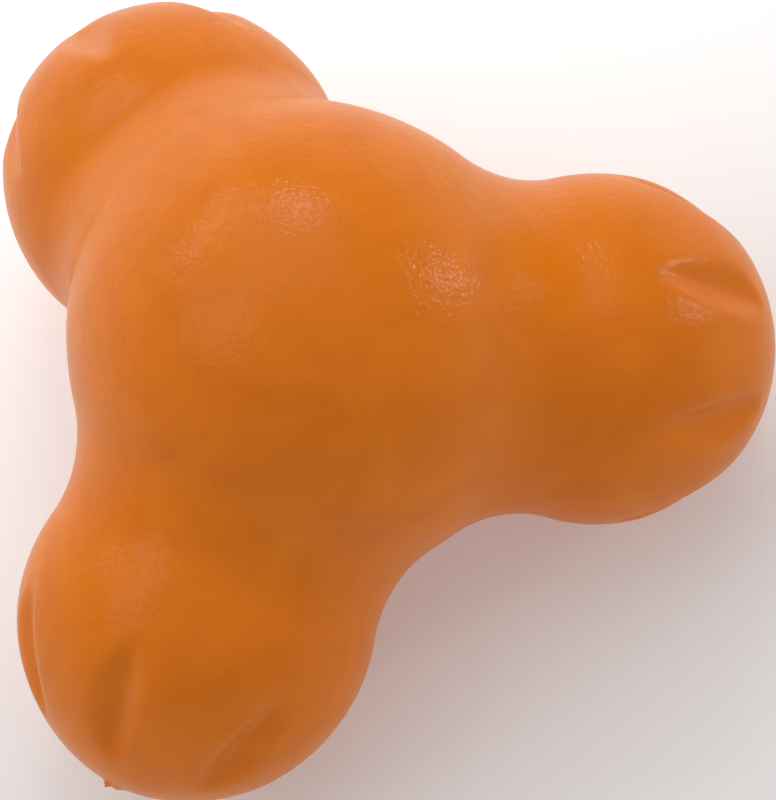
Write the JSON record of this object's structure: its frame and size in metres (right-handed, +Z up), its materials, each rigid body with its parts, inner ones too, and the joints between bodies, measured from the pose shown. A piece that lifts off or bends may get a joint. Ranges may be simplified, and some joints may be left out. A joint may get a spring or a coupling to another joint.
{
  "type": "rubber chew toy",
  "caption": "Rubber dog chew toy: a ball-shaped hub with creased ball-shaped lobes that it stands on, and a round mouth underneath into a hollow for treats.",
  "frame": {"origin": "centre of the hub's ball, on the axis of the treat mouth, where the axes of the lobes meet", "axes": "+Z up along the axis of the treat mouth, towards the dome; +X over the axis of lobe_a"},
  "size_m": [0.1173, 0.1272, 0.0768],
  "materials": {
    "body_rubber": "satin orange elastomer with a fine grain"
  },
  "bodies": {
    "root": {"hub": "body_rubber", "lobe_a": "body_rubber", "lobe_b": "body_rubber", "lobe_c": "body_rubber"}
  },
  "joints": []
}
